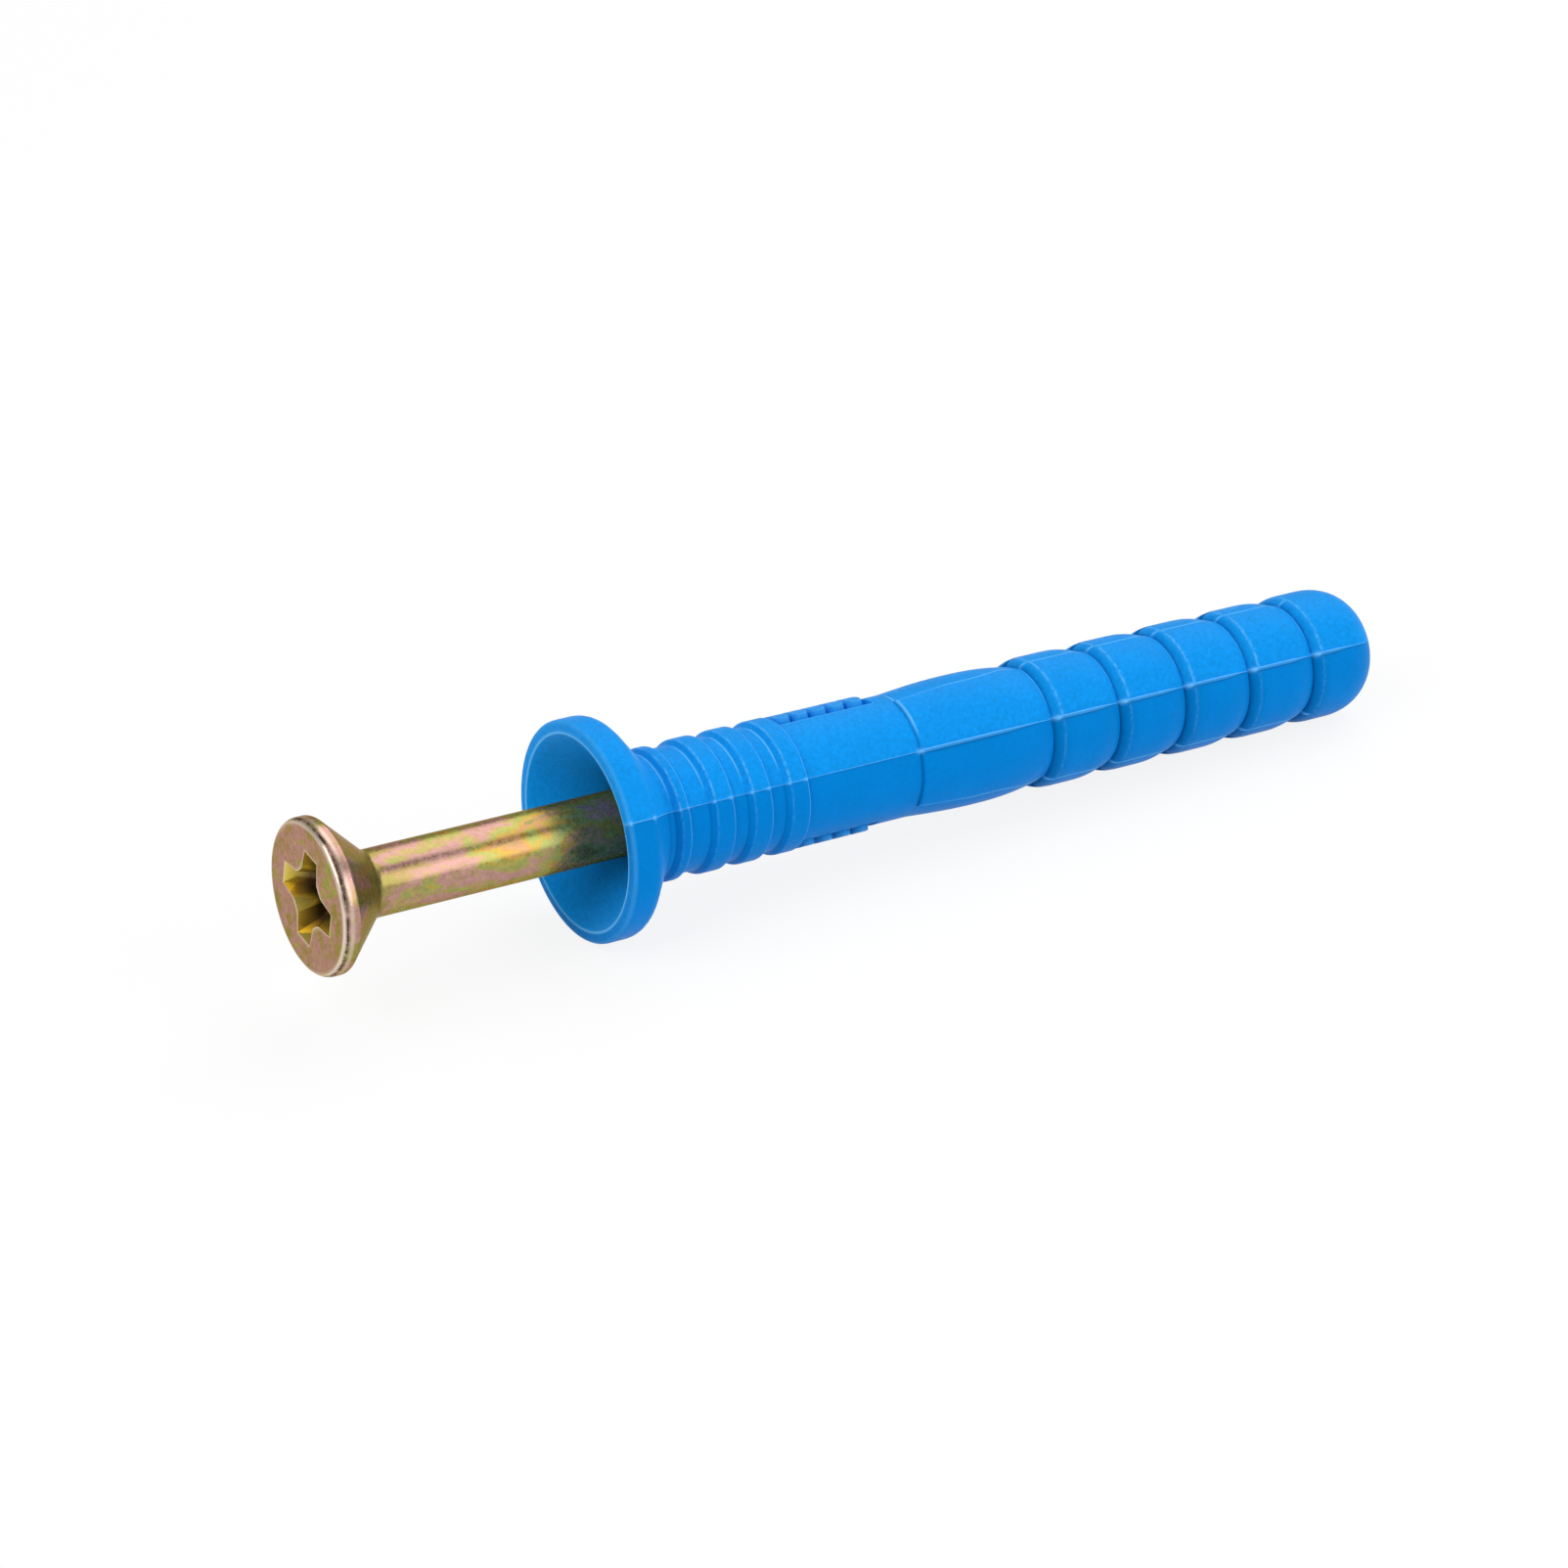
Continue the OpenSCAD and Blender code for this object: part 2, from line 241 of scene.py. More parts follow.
def zone_outline(start, top, lead):
    """Barbed end, as rows of (along, radius, marks).

    The swelling stretch rises by the sine of a quarter turn, each steep face and the nose are
    quarters of an ellipse, and each easy slope falls by a power of the way along it.
    """
    quarter = math.pi / 2
    first = FIRST_ROOT - lead
    rise = BARB_RISE + lead
    rows = []

    def stretch(along, radius, marks=None):
        empty = np.zeros((len(along), 4))
        rows.append(np.hstack([np.stack([along, radius], 1), empty if marks is None else marks]))

    # At the step into the zone: a painted highlight on the upper half and painted shade at its foot
    step = np.array([0, 0, 0.05, 0.6, 0.93, 1, 1])
    step_marks = np.zeros((7, 4))
    step_marks[3:6, 2] = (0.5, 1.0, 0.7)
    step_marks[0:4, 3] = (0.2, 0.8, 0.8, 0.2)
    step_at = ZONE_START + np.array([-0.13, -0.06, 0, 0.04, 0.09, 0.15, 0.22])
    stretch(step_at, BODY + (start - BODY) * step, step_marks)
    t = np.linspace(0, 1, 16)[1:]
    stretch(ZONE_START + 0.22 + (SWELL - 0.12) * t, start + (top - start) * np.sin(quarter * t))

    def fall(begin, root, length, radius):
        level = begin + (root - length - begin) * np.linspace(0, 1, 4)[1:]
        stretch(level, 0 * level + radius)
        t = np.append(np.linspace(0, 1, 12)[1:-1], 1 - np.array([0.14, 0.10, 0.06, 0.0]) / length)
        marks = np.zeros((len(t), 4))
        # A painted highlight just before each groove, on the upper half, and painted shade at its root
        marks[-4:, 2] = (0, 0.9, 0, 0)
        marks[-2:, 3] = (0.5, 0.9)
        stretch(root - length * (1 - t), radius - (radius - ROOT) * t ** 2.2, marks)

    fall(ZONE_START + 0.1 + SWELL, first, PAD_FALL, top)
    for barb in range(BARBS):
        root = first + barb * BARB_PITCH
        a = np.radians([9, 18, 28, 38, 48, 57, 65, 72, 80, 90])
        marks = np.zeros((len(a), 4))
        # A dotted painted highlight near each barb's crest, and painted shade over its steep face
        marks[:, 1] = 0.5 * bell(np.degrees(a) - 65, 5)
        marks[:, 3] = 0.95 * np.clip(1 - np.degrees(a) / 100, 0, 1)
        stretch(root + rise * (1 - np.cos(a)), ROOT + (RIB - ROOT) * np.sin(a), marks)
        if barb < BARBS - 1:
            fall(root + rise, root + BARB_PITCH, BARB_FALL, RIB)
    level = root + rise + (NOSE_END - NOSE_LEN - root - rise) * np.linspace(0, 1, 5)[1:]
    stretch(level, 0 * level + RIB)
    a = np.linspace(0, quarter, 16)[1:]
    stretch(NOSE_END - NOSE_LEN * (1 - np.sin(a)), NOSE_FLAT + (RIB - 0.006 - NOSE_FLAT) * np.cos(a))
    return np.vstack(rows)


def hollow_radius(along):
    """Radius of the guide bore, its taper and the pilot bore at each place along the plug."""
    return np.interp(along, *BORE_TAPER)


def ring_quads(rows, columns, closed):
    """Corner numbers of the quads of a grid whose columns, and if closed also its rows, join up."""
    i = np.arange(rows if closed else rows - 1)[:, None]
    j = np.arange(columns)[None, :]
    after_i = (i + 1) % rows
    after_j = (j + 1) % columns
    return np.stack([
        i * columns + j, i * columns + after_j, after_i * columns + after_j, after_i * columns + j], -1)


def make_piece(name, points, faces, sharp_degrees, values):
    """Closed mesh from points and quads or triangles (-1 in the fourth place), facing outwards.

    The enclosed volume is a sixth of the sum over all triangles of a . (b x c); where it comes out
    negative, every face is turned round. values are numbers per point for the material.
    """
    used = np.unique(faces[faces >= 0])
    lookup = np.full(len(points) + 1, -1)
    lookup[used] = np.arange(len(used))
    faces = lookup[faces]
    points = points[used]
    quad = faces[:, 3] >= 0
    a, b, c, d = (points[faces[quad][:, k]] for k in range(4))
    volume = (a * np.cross(b, c)).sum() + (a * np.cross(c, d)).sum()
    if volume < 0:
        faces[quad] = faces[quad][:, ::-1]
        faces[~quad, :3] = faces[~quad][:, [2, 1, 0]]
    mesh = bpy.data.meshes.new(name)
    mesh.from_pydata(points.tolist(), [], [[v for v in f if v >= 0] for f in faces.tolist()])
    for key, value in values.items():
        layer = mesh.attributes.new(key, "FLOAT", "POINT")
        layer.data.foreach_set("value", value.reshape(-1)[used].astype(np.float32))
    mesh.shade_smooth()
    mesh.set_sharp_from_angle(angle=math.radians(sharp_degrees))
    mesh.update()
    piece = bpy.data.objects.new(name, mesh)
    bpy.context.scene.collection.objects.link(piece)
    return piece


def plug_columns():
    """Columns of the plug: share from 0 to 90, the parting line it is counted from, and its way round."""
    quarter = np.array([
        0, 0.3, 0.6, 0.9, 1.2, 1.5, 1.9, 2.6, 4, 6, 9, 12, 16, 20, 24, 28, 32, 36, 40, 44, 48, 52, 55, 57.5,
        58.8, 59.5, PAD_EDGE, STRIP_EDGE, 61.3, 62.6, 64.2, 65.8, 67.5, 69.3, 71.5, 74, 77, 80, 83.4,
        90 - SLOT_EDGE, 90])
    back = quarter[::-1]
    share = np.concatenate([quarter, back[1:], quarter[1:], back[1:-1]])
    sizes = (len(quarter), len(quarter) - 1, len(quarter) - 1, len(quarter) - 2)
    return share, np.repeat([0, 180, 180, 360], sizes), np.repeat([1, -1, 1, -1], sizes)


def plug_rows():
    """Rows of the plug's skin: the front, the pads and the strips of the zone, the nose and the hollow.

    Extra rows near both ends of the slot give it round ends. Along the slot the inner rows repeat the
    places of the outer ones backwards, so that its walls join row to row; past it, every fourth does.
    """
    pads = zone_outline(PAD_START, PAD, 0.0)
    strips = zone_outline(BODY, STRIP, STRIP_LEAD)
    number = np.arange(len(pads))
    ends = np.array([0.0, 0.02, 0.06, 0.12, 0.18, 0.25])
    extra = np.interp(np.concatenate([SLOT[0] + ends, SLOT[1] - ends]), strips[:, 0], number)
    wanted = np.union1d(number, extra)
    pads, strips = (np.stack([np.interp(wanted, number, rows[:, k]) for k in range(6)], 1)
                    for rows in (pads, strips))

    hole = np.zeros((5, 6))
    hole[:, 0] = NOSE_END - np.array([0, 0, 0, 0.03, 0.12])
    hole[:, 1] = (1.5, 1.3, 1.2, 1.12, 1.10)
    strip_at = strips[:, 0]
    by_slot = (strip_at >= SLOT[0] - 1e-6) & (strip_at <= SLOT[1] + 1e-6)
    repeated = by_slot | (np.arange(len(strips)) % HIDDEN_STEP == 0)
    in_bore = (strip_at < NOSE_END - 0.4) & (strip_at > ZONE_START + 0.2)
    inside = strips[repeated & in_bore][::-1].copy()
    inside[:, 1] = hollow_radius(inside[:, 0])
    inside[:, 2:] = 0
    cup = np.zeros((17, 6))
    cup[:7, 0] = (18.0, 12.0, 7.0, 4.6, 4.0, 3.86, CUP_FOOT[0])
    cup[:7, 1] = (BORE, BORE, BORE, BORE, BORE, 2.41, CUP_FOOT[1])
    cup[7:, 0] = np.linspace(CUP_FOOT[0], 0.05, 11)[1:]
    cup[7:, 1] = np.linspace(CUP_FOOT[1], MOUTH - 0.05, 11)[1:]
    return front_outline(), pads, strips, hole, inside, cup


def panel_relief(along, share, off, panel):
    """Height of a recessed panel with its row of bars, and a painted highlight for the bars' edges.

    off is the angle from the middle of the panel. A bar is the set of points nearer than BAR_HALF to
    a straight line round the body, so it has round ends.
    """
    half_angle, length, count = panel
    sunk = smooth_step((NECK_END + length - along) / 0.08) * smooth_step((along - NECK_END - 0.04) / 0.03)
    sunk = sunk * smooth_step((share - PAD_EDGE) / (STRIP_EDGE - PAD_EDGE))
    first = NECK_END + (length - (count - 1) * BAR_PITCH) / 2
    nearest = first + BAR_PITCH * np.clip(np.round((along - first) / BAR_PITCH), 0, count - 1)
    straight = BODY * math.sin(math.radians(half_angle)) - BAR_MARGIN - BAR_HALF
    reach = np.hypot(along - nearest, np.maximum(np.radians(off) * BODY - straight, 0))
    bar = smooth_step((BAR_HALF + 0.03 - reach) / 0.09)
    height = (PANEL_FLOOR - BODY) * sunk + (BAR_TOP - PANEL_FLOOR) * bar * sunk
    return height, 0.5 * bar * bell(reach - 0.47, 0.06)


def flash_relief(along, above, outside):
    """Height of the flash on the parting line, painted highlights on its crest and ledge, and painted shade
    below it.

    above is the angle above the parting line. On the barbed end the flash is a ledge 0.28 mm wide
    with its crest on the upper side, widest behind the front of each barb. In front of that it is
    0.1 mm wide. Lens-shaped knots sit where an edge of the outline crosses it, with a painted
    highlight.
    """
    fronts = np.concatenate([[ZONE_START - 0.1], FIRST_ROOT + BARB_PITCH * np.arange(BARBS)])
    stage = np.searchsorted(fronts, along, side="right") - 1
    since = along - fronts[np.maximum(stage, 0)]
    length = np.where(stage > 0, BARB_PITCH, FIRST_ROOT - ZONE_START)
    wide = (stage >= 0) * smooth_step((1.02 - since / length) / 0.45)
    wide = wide * smooth_step((NOSE_END - 2.4 - along) / 2.0)
    ledge = smooth_step((above + 0.5 + 1.4 * wide) / 0.5) * smooth_step((0.5 + 1.1 * wide - above) / 0.5)
    crest = bell(above - 0.75 * wide, 0.32 + 0.2 * wide)
    dark = bell(above + 0.75 + 1.3 * wide, 0.3 + 0.25 * wide) * (0.45 + 0.5 * wide)
    height = (0.025 + 0.045 * wide) * ledge + (0.025 + 0.045 * wide) * crest

    barb_knots = sum(bell(along - root - 0.28, 0.26) for root in fronts[1:])
    step_knot = bell(along - ZONE_START + 0.04, 0.2)
    edges = np.concatenate([np.array(RING_ENDS) - 0.03, np.array(RING_ENDS) - RING_LAND - 0.06,
                            [THIN_RING_END - 0.03, THIN_RING_END - THIN_RING_LAND, 0.12, BAND_END]])
    edge_knots = sum(bell(along - edge, 0.11) for edge in edges)
    knot = (barb_knots + step_knot) * bell(above, 1.9) + edge_knots * bell(above, 1.2)
    height = height + (0.12 * (barb_knots + step_knot) * bell(above, 1.7)
                       + 0.05 * edge_knots * bell(above, 1.1))
    faded = smooth_step((NOSE_END - 0.6 - along) / 1.5) * outside
    pale = np.maximum((0.65 + 0.3 * wide) * crest, np.maximum(1.2 * knot, 0.3 * wide * ledge))
    return height * faded, np.clip(pale, 0, 1) * faded, dark * faded * np.clip(1 - knot, 0, 1)


def make_plug():
    """The whole plug as one closed skin, from the rim over the nose and back through the bore."""
    front, pads, strips, hole, inside, cup = plug_rows()
    share, start, way = plug_columns()
    pad_rows = np.vstack([front, pads, hole, inside, cup])
    strip_rows = np.vstack([front, strips, hole, inside, cup])
    rows, columns = len(pad_rows), len(share)
    zone_end = len(front) + len(pads)
    inner = zone_end + len(hole)
    number = np.arange(rows)[:, None]
    zone = (number >= len(front)) & (number < zone_end)
    outside = number < zone_end
    upper = ((start == 0) | ((start == 180) & (way < 0)))[None]

    # Pads about the parting line, and strips that stand out between them
    strip = smooth_step((share[None] - PAD_EDGE) / (STRIP_EDGE - PAD_EDGE)) * zone
    grid = pad_rows[:, None] + strip[..., None] * (strip_rows - pad_rows)[:, None]
    along, radius, line, dotted_highlight, gleam, dark = np.moveaxis(grid, 2, 0)

    # Angle of a column: its share is stretched so that column 60 follows the pads' sides, or the
    # panels' edges in front of them, and the columns beside the strip's middle follow the slot
    side = np.interp(pad_rows[:, 0], SIDE_AT, SIDE)
    side_sine = np.minimum(side / pad_rows[:, 1].clip(3), math.sin(math.radians(67)))
    side_angle = np.degrees(np.arcsin(side_sine))
    on_zone = smooth_step((pad_rows[:, 0] - 22.0) / 1.0)[:, None]
    panel_angle = np.where(upper, 90 - UPPER_PANEL[0], 90 - LOWER_PANEL[0])
    edge = 90 - (panel_angle + on_zone * (side_angle[:, None] - panel_angle))
    far = np.minimum(np.abs(along - SLOT[0]), np.abs(along - SLOT[1]))
    half_width = np.sqrt(SLOT_HALF ** 2 - (SLOT_HALF - np.minimum(far, SLOT_HALF)) ** 2).clip(0.02)
    fade = smooth_step((along - 23.6) / 1.0) * smooth_step((54.0 - along) / 1.0)
    slot_angle = SLOT_EDGE + fade * (np.degrees(np.arcsin(half_width / radius)) - SLOT_EDGE)
    off = 90 - share[None] + 0 * radius
    off = np.where(off <= SLOT_EDGE, off * slot_angle / SLOT_EDGE, np.where(
        off <= 90 - PAD_EDGE,
        slot_angle + (off - SLOT_EDGE) * (edge - slot_angle) / (90 - PAD_EDGE - SLOT_EDGE),
        edge + (off - 90 + PAD_EDGE) * (90 - edge) / PAD_EDGE))
    from_seam = 90 - off
    above = np.where(upper, from_seam, -from_seam)

    # Panels on the body, above and below
    on_body = (number < len(front)) & (along > NECK_END + 0.03)
    for panel, half in ((UPPER_PANEL, upper), (LOWER_PANEL, ~upper)):
        height, pale = panel_relief(along, share[None], off, panel)
        radius += height * half * on_body
        line += pale * half * on_body
    # Painted highlight along the upper panel's near edge
    body_side = bell(share[None] - PAD_EDGE + 0.3, 0.5) * on_body
    line += 0.7 * body_side * upper * (along < NECK_END + UPPER_PANEL[1]) * (along > NECK_END + 0.05)

    # Painted highlight along the pads' sides, and a raised ridge with a painted highlight where it climbs
    # the front of a barb
    beside = bell(share[None] - PAD_EDGE + 0.3, 0.7) * zone
    crisp = 0.45 + 0.40 * smooth_step((along - 25.5) / 2.0)
    line += crisp * beside * (along < 54.5) * smooth_step((pad_rows[:, 1:2] - 3.88) / 0.2)
    since = (along - FIRST_ROOT + 0.25) % BARB_PITCH - 0.25
    climb = (bell(since - 0.22, 0.30) * beside) * (along > FIRST_ROOT - 0.3)
    along -= 0.09 * climb
    radius += 0.035 * climb
    line = np.maximum(line, 0.9 * climb)
    # Painted shade on the strips of the upper half
    dark = np.maximum(dark, 0.22 * smooth_step((share[None] - PAD_EDGE - 0.6) / 1.2) * zone * upper)

    # The gleam, a painted highlight, fades towards the parting line and the top, and only the upper half
    # has it.
    # Painted shade spreads wider on the lower half, and the dotted painted highlight is weaker there
    gleam = gleam * smooth_step((above - 8) / 22) * smooth_step((84 - from_seam) / 18) * upper
    broad = np.where(upper, dark ** 2.2 * 0.8, dark)
    flash, flash_pale, flash_dark = flash_relief(along, above, outside)
    radius += flash
    line = np.maximum(np.maximum(line, gleam) * (1 - 0.6 * flash_dark), flash_pale)
    dotted_highlight = dotted_highlight * np.where(upper, 1.0, 0.3)
    dark = np.maximum(broad, flash_dark)

    # Painted shade: the cup gets darker towards its bottom
    dark = np.where(outside, dark, 0.85 * np.clip(along / 3.7, 0, 1) ** 1.3)

    points = place(along, radius, start + way * from_seam + SEAM_TURN).reshape(-1, 3)
    quads = ring_quads(rows, columns, True)

    # Cut the slots: drop the cells between their edge columns, and wall the two skins together
    in_slot = (strip_rows[:, 0] >= SLOT[0] - 1e-6) & (strip_rows[:, 0] <= SLOT[1] + 1e-6)
    slot_row = np.flatnonzero(in_slot & zone[:, 0])
    top, bottom = slot_row[0], slot_row[-1]
    partner = [inner + int(np.argmin(np.abs(inside[:, 0] - strip_rows[row, 0]))) for row in (top, bottom)]
    keep = np.ones((rows, columns), bool)
    walls = []
    for middle in np.flatnonzero(share == 90):
        keep[top:bottom, middle - 1:middle + 1] = False
        keep[partner[1]:partner[0], middle - 1:middle + 1] = False
        down = np.arange(top, bottom + 1)
        loop_rows = np.concatenate([down, [bottom], down[::-1], [top]])
        loop_columns = np.concatenate([0 * down + middle - 1, [middle], 0 * down + middle + 1, [middle]])
        ring = loop_rows * columns + loop_columns
        ring_in = (partner[0] + top - loop_rows) * columns + loop_columns
        walls.append(np.stack([np.roll(ring, -1), ring, ring_in, np.roll(ring_in, -1)], 1))
    faces = np.vstack([quads[keep]] + walls)

    # Painted light: the half above the parting line and the cup take the lighter blue, the lower half the
    # darker
    painted_light = np.where(outside, smooth_step((above + 0.6) / 1.2), 1.0)
    return make_piece("plug_sleeve_skin", points, faces, 50, {
        "painted_light": painted_light,
        "line": np.clip(line, 0, 1),
        "dotted_highlight": np.clip(dotted_highlight, 0, 1),
        "dark": np.clip(dark, 0, 1)})


def star(turn, tip, side, inner):
    """Distance to a four-winged star's outline along each angle.

    One eighth of the star is the broken line tip corner, side corner, inner corner. Where the ray at
    the angle meets the line through corners p and q, the distance is (p x q) / (ray x (q - p)).
    """
    eighth = np.abs((turn + 45) % 90 - 45)
    ray = np.stack([np.cos(np.radians(eighth)), np.sin(np.radians(eighth))])
    corners = [np.array([tip[0], 0.0]), np.array(tip), np.array(side), np.array(inner)]
    limits = [math.degrees(math.atan2(c[1], c[0])) for c in corners]
    out = np.zeros_like(turn)
    for p, q, low, high in zip(corners, corners[1:], limits, limits[1:]):
        hit = (p[0] * q[1] - p[1] * q[0]) / (ray[0] * (q[1] - p[1]) - ray[1] * (q[0] - p[0]))
        out = np.where((eighth >= low - 1e-9) & (eighth <= high + 1e-9), hit, out)
    return out


def screw_columns():
    """Angles of the columns, with close pairs at the corners of the driver recess."""
    eighth = np.array([0, 4, 8, 11.5, 14.3, 14.67, 15.1, 19, 24, 28, 31.0, 31.49, 32.0, 36, 40, 44.2, 45])
    quarter = np.concatenate([eighth, 90 - eighth[-2:0:-1]])
    return np.concatenate([quarter + 90 * k for k in range(4)])


def make_screw():
    """The screw as one closed skin, from the bottom of its driver recess to its point."""
    turn = screw_columns()
    mouth = star(turn, *RECESS_MOUTH)
    floor = star(turn, *RECESS_FLOOR)

    # Bottom of the recess, a shallow point, and its walls: (depth, share of the way to the mouth)
    core_depth = np.array([2.95, 2.72, 2.64])[:, None]
    core_share = np.array([0.35, 0.75, 0.93])[:, None]
    core_lift = np.array([0.0, 0.75, 0.93])[:, None] * 0.25 * (np.clip(floor - 0.8, 0, 1) / 0.7)[None]
    wall = np.array([
        [RECESS_WALL, 0.0], [2.45, 0.02], [2.1, 0.14], [1.6, 0.34], [1.1, 0.55], [0.6, 0.76],
        [0.2, 0.93], [0.07, 0.985], [0.02, 1.0], [0.0, 1.012]])
    wall_radius = floor[None] + wall[:, 1:] * (mouth - floor)[None]

    # Face, from the mouth's outline to the head's edge
    share = np.array([0.03, 0.12, 0.3, 0.55, 0.8, 0.94, 1.0])[:, None]
    face_radius = mouth[None] * 1.012 + share * (FACE_EDGE - mouth * 1.012)[None]

    a = np.linspace(0, math.pi / 2, 8)[1:]
    edge = np.stack([
        FACE + HEAD_EDGE_LEN * (1 - np.cos(a)), FACE_EDGE + (HEAD - FACE_EDGE) * np.sin(a)], 1)
    head = eased([
        (FACE + HEAD_EDGE_LEN, HEAD, 0.0, 1, PLAIN), (FACE + HEAD_BAND_END, HEAD, 0.14, 2, PLAIN),
        (FACE + HEAD_LEN, SHANK, 0.30, 10, PLAIN), (FACE + 8.0, SHANK, 0.2, 7, PLAIN),
        (FACE + 20.0, SHANK, 0.2, 12, PLAIN), (THREAD[0], SHANK, 0.0, 6, PLAIN)])[1:, :2]
    outline = np.vstack([edge, head])
    thread = np.arange(THREAD[0] + 0.1, THREAD[1], 0.1)[:, None]
    point = np.array([
        [THREAD[1] + 0.2, CORE], [39.38, CORE], [42.25, 1.21], [44.75, 0.57], [TIP - 0.15, 0.15]])

    across = np.ones((1, len(turn)))
    radius = np.vstack([
        core_share * floor[None], wall_radius, face_radius, outline[:, 1:] * across,
        CORE * across * np.ones_like(thread), point[:, 1:] * across])
    along = np.vstack([
        FACE + core_depth * across - core_lift, FACE + wall[:, :1] * across,
        FACE * np.ones_like(face_radius), outline[:, :1] * across, thread * across,
        point[:, :1] * across])

    # Right-handed thread: the tooth's place moves one pitch towards the head for each turn upwards
    first = len(core_depth) + len(wall) + len(share) + len(outline)
    rows = slice(first, first + len(thread))
    phase = ((along[rows] + THREAD_PITCH * turn[None] / 360) / THREAD_PITCH) % 1
    tooth = np.interp(phase, [0, 0.10, 0.275, 0.90, 1], [0, 1, 1, 0, 0])
    grown = smooth_step((along[rows] - THREAD[0]) / 1.5) * smooth_step((THREAD[1] - along[rows]) / 1.2)
    to_core = smooth_step((along[rows] - THREAD[0]) / 0.5)
    radius[rows] = SHANK + (CORE - SHANK) * to_core + (CREST - CORE) * tooth * grown

    count, columns = radius.shape
    grid = place(along, radius, turn[None] + RECESS_TURN + 0 * radius).reshape(-1, 3)
    ends = place(np.array([FACE + 3.0, TIP]), np.zeros(2), np.zeros(2))
    j = np.arange(columns)
    after = (j + 1) % columns
    none = np.full(columns, -1)
    last = (count - 1) * columns
    faces = np.vstack([
        ring_quads(count, columns, False).reshape(-1, 4),
        np.stack([after, j, 0 * j + count * columns, none], 1),
        np.stack([last + j, last + after, 0 * j + count * columns + 1, none], 1)])

    # Marks: how deep in the recess (0.3 to 1), which sets its painted shade, where the edges are pale from
    # worn plate with a painted glint, the painted dark reflection on the head's edge, and how thick the
    # film is on average (0 to 1)
    inner = len(core_depth) + len(wall) - 1
    face_end = inner + 1 + len(share)
    recess = np.zeros((count, columns))
    recess[:inner] = 0.3 + 0.7 * np.clip((along[:inner] - FACE) / RECESS_WALL, 0, 1)
    wear_and_glint = np.zeros((count, columns))
    wear_and_glint[inner - 2:inner + 2] = np.array([0.35, 0.9, 0.9, 0.25])[:, None]
    wear_and_glint[face_end - 1:face_end + 7] = np.array([0.2, 0.6, 0.8, 0.5, 0.1, 0.1, 0.35, 0.3])[:, None]
    line = np.zeros((count, columns))
    line[face_end + 2:face_end + 5] = np.array([0.3, 1.0, 0.4])[:, None]
    film = np.interp(along, *FILM)
    return make_piece("nail_screw_skin", np.vstack([grid, ends]), faces, 38, {
        "recess": np.append(recess.reshape(-1), [1.0, 0.0]),
        "wear_and_glint": np.append(wear_and_glint.reshape(-1), [0.0, 0.0]),
        "line": np.append(line.reshape(-1), [0.0, 0.0]),
        "film": np.append(film.reshape(-1), [0.5, 0.5])})


def linear(hex_colour):
    """sRGB hex colour to linear RGBA: (c + 0.055) / 1.055 to the power 2.4, or c / 12.92 when dark."""
    parts = [int(hex_colour[k:k + 2], 16) / 255 for k in (1, 3, 5)]
    return [c / 12.92 if c <= 0.04045 else ((c + 0.055) / 1.055) ** 2.4 for c in parts] + [1.0]


def add(tree, kind, settings=None, **links):
    """Adds a node, sets its properties and input values, and links inputs from other nodes' outputs.

    A key of settings is a property's name, or the name or number of an input. A key of links is an
    input's name with _ for a space, or i and the input's number.
    """
    node = tree.nodes.new(kind)
    for key, value in (settings or {}).items():
        if isinstance(key, str) and hasattr(node, key):
            setattr(node, key, value)
        else:
            node.inputs[key].default_value = value
    for key, source in links.items():
        name = int(key[1:]) if key[0] == "i" and key[1:].isdigit() else key.replace("_", " ")
        tree.links.new(node.inputs[name], source)
    return node


def new_material(name):
    """Empty node material with its output node; returns (material, tree, output)."""
    material = bpy.data.materials.new(name)
    material.use_nodes = True
    tree = material.node_tree
    tree.nodes.clear()
    return material, tree, tree.nodes.new("ShaderNodeOutputMaterial")


